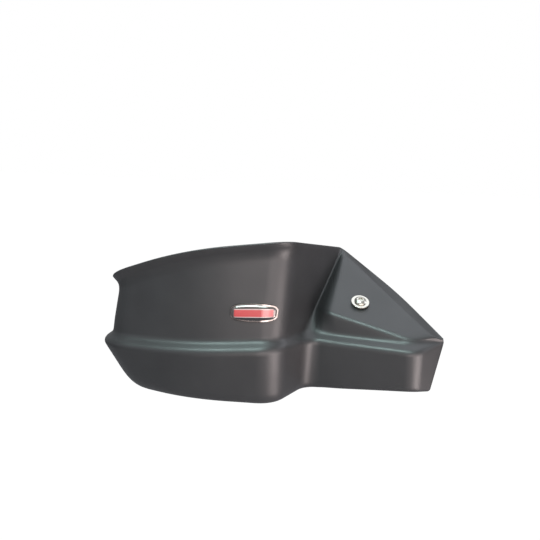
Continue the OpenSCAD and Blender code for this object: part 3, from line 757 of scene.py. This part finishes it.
def makeClamp():
    c = clamp
    half = c["gap"] / 2
    barTurn = Matrix.Rotation(math.pi / 2, 4, "Y")
    edge = {"width": c["edge"] * mm, "segments": 3, "limit_method": "ANGLE", "angle_limit": math.radians(40)}
    lug, boss, step, top = c["lug"], c["boss"], c["upperLug"], c["top"]
    upper = [(-lug, half), (lug, half), (lug, step), (boss, step), (boss, top), (-boss, top), (-boss, step),
             (-lug, step)]
    piece = castBlock(softLoop(upper, [c["splitR"]] * 2 + [c["cornerR"]] * 6, 5))
    cutWith(piece, roundCutter(c["linerR"], -c["w"], c["w"], barTurn, 96))
    for y in (-c["screwY"], c["screwY"]):
        shift = Matrix.Translation((0, y * mm, 0))
        cutWith(piece, roundCutter(c["screwTapR"], -1, c["grip"] + 1, shift, 32))
    cutWith(piece, roundCutter(c["boltTapR"], c["boltTapZ"], top + 4, Matrix.Identity(4), 48))
    applyModifier(piece, "BEVEL", **edge)
    dress(piece, "clampUpperHalf", "clamp_upper", [alloy], 35)

    start = math.asin(c["lowerLug"] / c["outR"])
    barrel = [(c["outR"] * math.cos(a), c["outR"] * math.sin(a))
              for a in [mix(-math.pi - start, start, k / 40) for k in range(41)]]
    foot = c["lowerLug"]
    lugs = [Vector((lug, foot)), Vector((lug, -half)), Vector((-lug, -half)), Vector((-lug, foot))]
    inwards = Vector((6, 0))
    rounding = ([0, c["cornerR"], 0], [1, 6, 1])
    right = roundedLine([lugs[0] - inwards, lugs[0], lugs[1]], *rounding)[1:-1]
    left = roundedLine([lugs[2], lugs[3], lugs[3] + inwards], *rounding)[1:-1]
    piece = castBlock([Vector(p) for p in barrel] + right + lugs[1:3] + left)
    cutWith(piece, roundCutter(c["linerR"], -c["w"], c["w"], barTurn, 96))
    for y in (-c["screwY"], c["screwY"]):
        shift = Matrix.Translation((0, y * mm, 0))
        cutWith(piece, roundCutter(c["screwHoleR"], -12, 1, shift, 32))
        cutWith(piece, roundCutter(c["spotR"], -24, c["lowerLug"], shift, 48))
    applyModifier(piece, "BEVEL", **edge)
    dress(piece, "clampLowerHalf", "clamp_lower", [alloy], 35)


def boxCutter(size, centre, turn=0.0):
    clearSelection()
    bpy.ops.mesh.primitive_cube_add(size=1)
    cutter = bpy.context.object
    cutter.scale = Vector(size) * mm
    cutter.rotation_euler = (turn, 0, 0)
    cutter.location = Vector(centre) * mm
    placeFor(cutter, Matrix.Identity(4))
    return cutter


def makeLiner():
    c = clamp
    half = c["w"] / 2
    low, high = c["barR"], c["linerR"]
    piece = turnedRing([(low, -half), (high, -half), (high, half), (low, half)], 0.3, 96)
    placeFor(piece, Matrix.Rotation(math.pi / 2, 4, "Y"))
    cutWith(piece, boxCutter((2 * c["w"], c["w"], c["gap"]), (0, half, 0)))
    dress(piece, "clampLiner", "clamp_liner", [rubber], 35)


def capScrewRings():
    # socket head screw, head up from z = 0
    d = clamp["screwD"]
    r = d / 2
    headR, headH = 0.825 * d, d
    length = clamp["grip"] - clamp["lowerLug"] + clamp["springH"]
    half = 0.415 * d
    floor = headH * 0.45
    rings = [(r - 0.9, -length), (r - 0.3, -length + 0.6)] + threadRings(r, -length + 0.7, -1.2, 1.0)
    rings += [(r, -0.9), (r, -0.2), (r + 0.2, 0), (headR - 0.4, 0), (headR, 0.35), (headR, headH - 0.5),
              (headR - 0.15, headH - 0.15), (headR - 0.5, headH), (half + 0.5, headH),
              (half + 0.35, headH, "hex"), (half, headH - 0.3, "hex"), (half, floor, "hex"),
              (half * 0.9, floor - 0.05, "hex"), (0.3, floor - 0.6)]
    return rings


def joinPieces(pieces):
    clearSelection()
    for piece in pieces:
        piece.select_set(True)
    bpy.context.view_layer.objects.active = pieces[0]
    bpy.ops.object.join()
    return bpy.context.object


def makeClampScrews():
    c = clamp
    inner, outer = c["screwHoleR"], c["springR"]
    low, high = c["lowerLug"] - c["springH"], c["lowerLug"]
    screws = []
    washers = []
    for y in (-c["screwY"], c["screwY"]):
        screw = turned(capScrewRings(), 48, False)
        placeFor(screw, Matrix.Translation((0, y * mm, low * mm)) @ Matrix.Rotation(math.pi, 4, "X"))
        screws.append(screw)
        washer = turnedRing([(inner, low), (outer, low), (outer, high), (inner, high)], 0.25, 48)
        cutWith(washer, boxCutter((4, c["springSlit"], 4), (4.6, 0, (low + high) / 2),
                                  math.radians(c["springTurn"])))
        placeFor(washer, Matrix.Translation((0, y * mm, 0)))
        washers.append(washer)
    dress(joinPieces(screws), "clampScrews", "clamp_screws", [zinc], 35)
    dress(joinPieces(washers), "clampSpringWashers", "clamp_spring_washers", [zinc], 35)


makeClamp()
makeLiner()
makeClampScrews()
strapWasher = {"inner": 4.2, "outer": 8, "low": 29, "high": 30.6}
strapSeat = Matrix.Translation((0, 0, strapWasher["high"] * mm))
buttonScrew(clamp["bolt"], strapSeat, "strapScrew", "bracket_bolt", zinc)
flatWasher(strapWasher, Matrix.Identity(4), "strapScrewWasher", "bracket_washer", zinc)

# Bar-end set, from the outside in

barEnd = {
    "screw": {"d": 6, "length": 69.8, "flats": 4, "plain": 32.0, "pitch": 1.0},
    "seat": 2.8,
    "washer": {"inner": 3.2, "outer": 9, "low": 1.2, "high": 2.8},
    "grommet": [(3.2, 1.2), (6.1, 1.2), (6.1, 0), (4.7, 0), (4.7, -3), (7.1, -3), (7.1, -5), (3.2, -5)],
    "weight": [(3.2, -29), (8.75, -29), (8.75, -25), (11.1, -25), (13, -23.1), (13, -20.2), (11.8, -19),
               (13, -17.8), (13, -12.2), (11.8, -11), (13, -9.8), (13, -6.2), (11.8, -5), (3.2, -5)],
    "expander": [(3.2, -29), (7.95, -29), (8.75, -29.8), (8.75, -54), (6.75, -54), (3.2, -50)],
    "cone": [(3.1, -50), (3.2, -50), (6.75, -54), (8.15, -56), (8.15, -65), (7.15, -66), (3.1, -66)],
}


def makeBarEnd():
    kit = barEnd
    seat = barEndPlace @ Matrix.Translation((0, 0, kit["seat"] * mm))
    buttonScrew(kit["screw"], seat, "barEndScrew", "bar_end_bolt", stainless)
    flatWasher(kit["washer"], barEndPlace, "barEndWasher", "bar_end_washer", stainless)
    grommetSoft = [0.2, 0.5, 0.3, 0.3, 0.3, 0.5, 0.5, 0.3]
    for key, name, node, slotName, finish, radii in (
            ("grommet", "barEndGrommet", "bar_end_grommet", "rubber", rubber, grommetSoft),
            ("weight", "barEndWeight", "bar_end_weight", "zinc", zinc, 0.45),
            ("expander", "barEndExpander", "bar_end_expander", "rubber", rubber, 0.4),
            ("cone", "barEndConeNut", "bar_end_cone_nut", "zinc", zinc, 0.35)):
        piece = turnedRing(kit[key], radii, 64)
        placeFor(piece, barEndPlace)
        dress(piece, name, node, [finish], 35)


makeBarEnd()

# Badge on the front wall, laid on the moulding's own face

badge = {"l": 40, "h": 16, "z": 58.5, "fromBrow": 4, "rim": 1.6, "t": 1, "rise": 1.4, "gap": 0.2,
         "corner": 5.44, "bow": 0.3, "plateSoft": 0.35, "domeSoft": 2.8, "pour": 0.02,
         "slope": 0.03, "midX": -44.5, "redEnd": 0.38, "chromeEnd": 0.40, "chromeFrom": 0.79}


def wallPoint(c, z):
    # the front wall at a column and a height
    k = min(int(c), faceCols - 2)
    spot = []
    for col in (k, k + 1):
        rows = [p for p in face[col] if p.z > guard["ledgeZ"] + guard["ledgeH"] + 5]
        for a, b in zip(rows, rows[1:]):
            if a.z <= z <= b.z:
                spot.append(mix(a, b, (z - a.z) / (b.z - a.z)))
                break
    return mix(spot[0], spot[1], c - k)


def wallRun():
    # length along the wall, column and x, for the columns of the front wall
    places = []
    length = 0.0
    previous = None
    for c, station in enumerate(faceStations):
        if 2.6 < station < 4.6:
            p = wallPoint(c, badge["z"])
            length += (p - previous).length if previous else 0
            previous = p
            places.append((length, c, p.x))
    return places


wallPlaces = wallRun()


def alongRun(value, given, wanted):
    for a, b in zip(wallPlaces, wallPlaces[1:]):
        if min(a[given], b[given]) <= value <= max(a[given], b[given]) and a[given] != b[given]:
            return mix(a[wanted], b[wanted], (value - a[given]) / (b[given] - a[given]))
    return wallPlaces[0][wanted]


badgeMiddle = alongRun(guard["browX"], 2, 0) - badge["fromBrow"] - badge["l"] / 2


def onWall(s, z, off=0.0):
    p = wallPoint(alongRun(badgeMiddle + s, 0, 1), badge["z"] + z)
    if not off:
        return p
    along = onWall(s + 0.8, z) - onWall(s - 0.8, z)
    up = onWall(s, z + 0.8) - onWall(s, z - 0.8)
    return p + along.cross(up).normalized() * off


def dropToWall(spot, low):
    # the point under this one, at a small height over the wall
    best = min(wallPlaces, key=lambda place: abs(place[2] - spot.x))
    s = best[0] - badgeMiddle
    z = spot.z - badge["z"]
    for _ in range(12):
        along = (onWall(s + 0.5, z) - onWall(s - 0.5, z)).normalized()
        up = (onWall(s, z + 0.5) - onWall(s, z - 0.5)).normalized()
        step = spot - onWall(s, z)
        s += step.dot(along)
        z += step.dot(up)
    return onWall(s, z, low)


def badgePad(inset, low, high, soft):
    # a pad on the wall: its grid is squeezed into the badge's rounded outline
    halfL = badge["l"] / 2 - inset
    halfH = badge["h"] / 2 - inset
    r = badge["corner"] - inset
    wide, tall = 60, 20
    clearSelection()
    bpy.ops.mesh.primitive_grid_add(x_subdivisions=wide, y_subdivisions=tall, size=2)
    piece = bpy.context.object
    for vertex in piece.data.vertices:
        u = math.sin(vertex.co.x * math.pi / 2)
        v = math.sin(vertex.co.y * math.pi / 2)
        s = mix(vertex.co.x, u, 0.6) * halfL
        over = max(0.0, abs(s) - halfL + r)
        reach = (halfH - r + math.sqrt(max(r * r - over * over, 0))) * (1 - badge["bow"] * (s / halfL) ** 2)
        z = mix(vertex.co.y, v, 0.6) * reach
        rimGap = min(halfL - abs(s), reach - abs(z))
        edge = min(1.0, max(0.0, rimGap / soft))
        vertex.co = onWall(s, z, high - (high - low) * 0.75 * (1 - edge) ** 2.2) * mm
    choose(piece)
    setMode("EDIT")
    bpy.ops.mesh.select_all(action="SELECT")
    bpy.ops.mesh.extrude_region_move()
    mesh = bmesh.from_edit_mesh(piece.data)
    for vertex in mesh.verts:
        if vertex.select:
            vertex.co = dropToWall(vertex.co / mm, low) * mm
    bmesh.update_edit_mesh(piece.data)
    setMode("OBJECT")
    cleanMesh(piece)
    return piece


def domedLabel():
    # clear polyurethane dome over a foil label: black below, red between pale lines, smoked chrome above
    finish, tree, shader, coords = newFinish("domedLabel", "#b3161f", 0.3, IOR=1.5, Coat_Weight=1.0,
                                             Coat_Roughness=0.05, Coat_IOR=1.5)
    parts = addNode(tree, "ShaderNodeSeparateXYZ", None, {"Vector": coords})
    along = calc(tree, "SUBTRACT", parts.outputs["X"], badge["midX"] * mm)
    height = calc(tree, "SUBTRACT", parts.outputs["Z"], calc(tree, "MULTIPLY", along, badge["slope"]))
    half = badge["h"] / 2 - badge["rim"]
    level = toRange(tree, height, 0.0, 1.0, (badge["z"] - half) * mm, (badge["z"] + half) * mm)
    ramp = addNode(tree, "ShaderNodeValToRGB", None, {"Fac": level})
    bands = ((0.0, "#141214"), (0.22, "#1b181b"), (0.24, "#a89491"), (0.27, "#a89491"), (0.29, "#a02c2e"),
             (0.72, "#a6383a"), (0.74, "#a89491"), (0.78, "#a89491"), (0.80, "#4d4644"), (1.0, "#6f6866"))
    stops = ramp.color_ramp.elements
    stops[0].color = linear(bands[0][1])
    for position, colour in bands[1:-1]:
        stops.new(position).color = linear(colour)
    stops[len(bands) - 1].color = linear(bands[-1][1])
    ends = toRange(tree, calc(tree, "ABSOLUTE", along), 0.0, 1.0, badge["l"] * badge["redEnd"] * mm,
                   badge["l"] * badge["chromeEnd"] * mm)
    shine = calc(tree, "MAXIMUM", calc(tree, "GREATER_THAN", level, badge["chromeFrom"]), ends)
    tree.links.new(toRange(tree, shine, 0.0, 0.85, 0.0, 1.0), shader.inputs["Metallic"])
    printed = addNode(tree, "ShaderNodeMixRGB", {"Color2": linear("#6f6765")},
                      {"Fac": ends, "Color1": ramp.outputs["Color"]})
    tree.links.new(printed.outputs["Color"], shader.inputs["Base Color"])
    addBump(tree, shader, noise(tree, coords, 7, 1), 0.05, 0.3)
    return finish


label = domedLabel()
plateTop = badge["gap"] + badge["t"]
plate = badgePad(0, badge["gap"], plateTop, badge["plateSoft"])
dress(plate, "badgeFoilPlate", "badge_plate", [foil], 40)
dome = badgePad(badge["rim"], plateTop + badge["pour"], plateTop + badge["rise"], badge["domeSoft"])
dress(dome, "badgeDome", "badge_dome", [label], 40)

# Stage, lights and camera

stageSizes = {"floorZ": -0.5, "floorSize": 12.0, "sweepShare": 0.93, "sweepLight": 1.08}
clearSelection()
bpy.ops.mesh.primitive_plane_add(size=stageSizes["floorSize"], location=(0, 0, stageSizes["floorZ"]))
floor = bpy.context.object
floor.name = "paleFloor"
placeFor(floor, Matrix.Identity(4))
# the camera sees the floor as a white sweep, which keeps the object's shadow and lights nothing more
floorFinish, tree, shader, _ = newFinish("paleFloor", "#98979a", 0.9)
sweep = addNode(tree, "ShaderNodeEmission", {"Color": (1, 1, 1, 1), "Strength": stageSizes["sweepLight"]})
cameraRay = addNode(tree, "ShaderNodeLightPath").outputs["Is Camera Ray"]
share = calc(tree, "MULTIPLY", cameraRay, stageSizes["sweepShare"])
seenFloor = addNode(tree, "ShaderNodeMixShader", None,
                    {0: share, 1: shader.outputs["BSDF"], 2: sweep.outputs["Emission"]})
tree.links.new(seenFloor.outputs["Shader"], tree.nodes["Material Output"].inputs["Surface"])
floor.data.materials.append(floorFinish)

# name, place, width, height, watts and tint; all face the guard's middle
aim = Vector((-0.03, -0.09, 0.05))
softBoxes = (
    ("ceilingBox", (0, 0.48, 1.72), 2.4, 1.6, 22.5, "#eef1f9"),
    ("ledgeBox", (-0.03, -0.8, 1.14), 0.7, 0.36, 21, "#d6f4f1"),
    ("frontBox", (0.4, -1.31, 0.12), 0.5, 0.5, 2.6, "#fff1f0"),
    ("rightBox", (0.79, -0.94, 0.04), 1.5, 0.56, 10.8, "#fff0ee"),
    ("lowRightBox", (0.6, -0.29, -0.25), 0.38, 0.24, 3.6, "#fff0ee"),
    ("backRightBox", (1.09, 0.45, 0.43), 0.7, 0.5, 3.2, "#f2f4ff"),
    ("leftFill", (-1.3, -1.65, 0.6), 1.8, 1.4, 3.2, "#f0ecff"),
)


def softBox(name, place, width, height, watts, tint):
    data = bpy.data.lights.new(name, "AREA")
    data.shape = "RECTANGLE"
    data.size = width
    data.size_y = height
    data.energy = watts
    data.color = linear(tint)[:3]
    lamp = bpy.data.objects.new(name, data)
    bpy.context.scene.collection.objects.link(lamp)
    lamp.location = place
    lamp.rotation_euler = (aim - Vector(place)).to_track_quat("-Z", "Y").to_euler()


for box in softBoxes:
    softBox(*box)

world = bpy.data.worlds.new("paleRoom")
bpy.context.scene.world = world
world.use_nodes = True
room = world.node_tree
background = room.nodes["Background"]
cameraRay = addNode(room, "ShaderNodeLightPath").outputs["Is Camera Ray"]
background.inputs["Color"].default_value = (0.43, 0.425, 0.44, 1)
white = addNode(room, "ShaderNodeBackground", {"Color": (1, 1, 1, 1), "Strength": 1.0})
seen = addNode(room, "ShaderNodeMixShader", None,
               {0: cameraRay, 1: background.outputs["Background"], 2: white.outputs["Background"]})
room.links.new(seen.outputs["Shader"], room.nodes["World Output"].inputs["Surface"])


def placeCamera():
    view = {"azimuth": 18, "elevation": 12, "roll": 1, "depth": 660, "focal": 786, "anchor": (81, -90, 22),
            "anchorPixel": (413, 356), "frame": 540, "sensor": 36}
    a, e, r = (math.radians(view[k]) for k in ("azimuth", "elevation", "roll"))
    back = Vector((math.sin(a) * math.cos(e), -math.cos(a) * math.cos(e), math.sin(e)))
    level = Vector((math.cos(a), math.sin(a), 0))
    tall = level.cross(-back)
    right = level * math.cos(r) + tall * math.sin(r)
    up = tall * math.cos(r) - level * math.sin(r)
    middle = view["frame"] / 2
    x = (view["anchorPixel"][0] - middle) / view["focal"] * view["depth"]
    y = -(view["anchorPixel"][1] - middle) / view["focal"] * view["depth"]
    place = Vector(view["anchor"]) - right * x - up * y + back * view["depth"]
    data = bpy.data.cameras.new("photoCamera")
    data.sensor_width = view["sensor"]
    data.lens = view["focal"] / view["frame"] * view["sensor"]
    data.clip_start = 0.02
    camera = bpy.data.objects.new("photoCamera", data)
    bpy.context.scene.collection.objects.link(camera)
    turn = Matrix((right, up, back)).transposed().to_4x4()
    camera.matrix_world = Matrix.Translation(place * mm) @ turn
    bpy.context.scene.camera = camera


placeCamera()
bpy.context.scene.view_settings.view_transform = "Standard"
print("stage, lights and camera ready")
